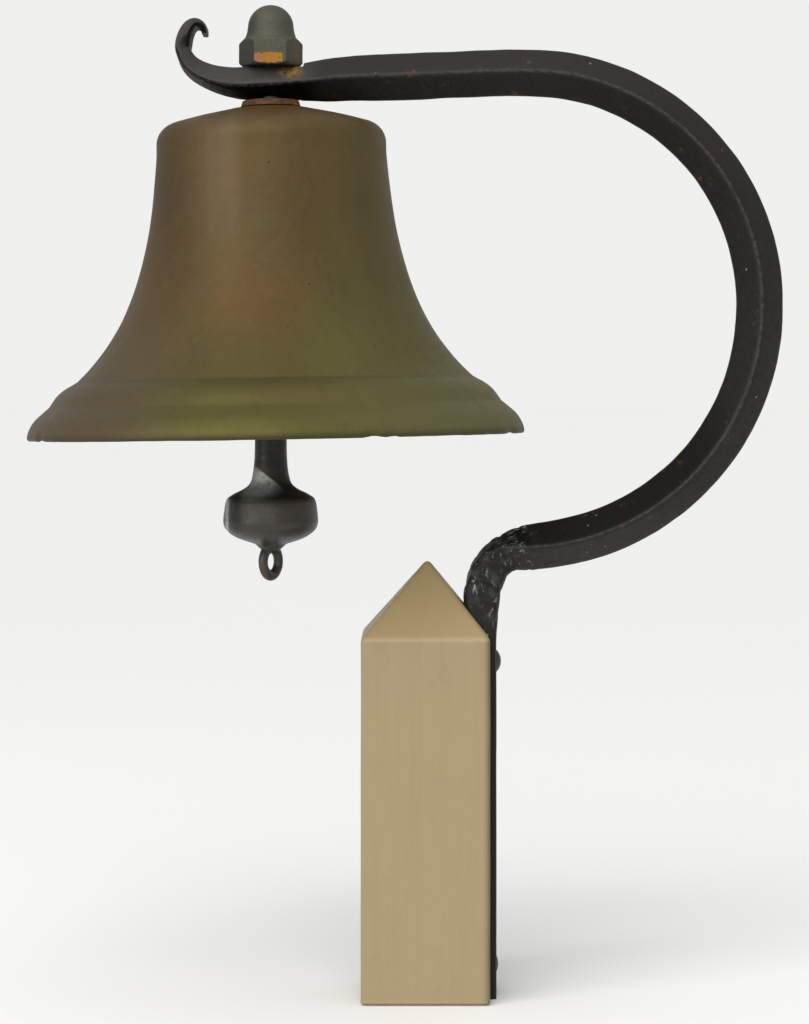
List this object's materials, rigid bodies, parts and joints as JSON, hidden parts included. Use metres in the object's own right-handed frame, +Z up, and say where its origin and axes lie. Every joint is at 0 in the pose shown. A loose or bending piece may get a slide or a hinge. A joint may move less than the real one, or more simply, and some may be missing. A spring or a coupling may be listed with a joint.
{
  "type": "post mounted bell",
  "caption": "Bronze flared bell with a swinging clapper, bolted under a forged iron gooseneck bracket with a scroll tip, screwed to a pointed square timber post.",
  "frame": {"origin": "centre of the post's foot, on its bottom face", "axes": "+Z up, along the post; -X from the post towards the bell, along the bracket's arm; -Y is the front"},
  "size_m": [0.4628, 0.3044, 0.605],
  "materials": {
    "post_paint": "tan gloss paint on planed timber, lightly weathered",
    "forged_iron": "black paint on hammered iron, pitted, with rust spots",
    "nut_bronze": "grey-green verdigris with an orange rust stain",
    "collar_rust": "rusted orange-brown iron",
    "bell_bronze": "satin brown-olive patina with a worn bright lip",
    "clapper_bronze": "dark grey-brown patina, worn paler on its edges",
    "inner_steel": "dull plated steel",
    "screw_steel": "darkened steel"
  },
  "bodies": {
    "frame": {"post": "post_paint", "bracket": "forged_iron", "acorn_nut": "nut_bronze", "collar": "collar_rust", "bell": "bell_bronze", "fork_bolt": "clapper_bronze", "crown_washer": "inner_steel", "crown_nut": "inner_steel", "pivot_pin": "inner_steel", "pin_washer": "inner_steel", "split_pin": "inner_steel", "strap_screw_upper": "screw_steel", "strap_screw_lower": "screw_steel"},
    "clapper": {"clapper": "clapper_bronze"}
  },
  "joints": [
    {"name": "clapper_swing", "type": "hinge", "parent": "frame", "child": "clapper", "pos_m": [-0.0945, 0, 0.4973], "axis": [0.8049, -0.5934, 0], "range_deg": [-34.2, 35.2]}
  ]
}
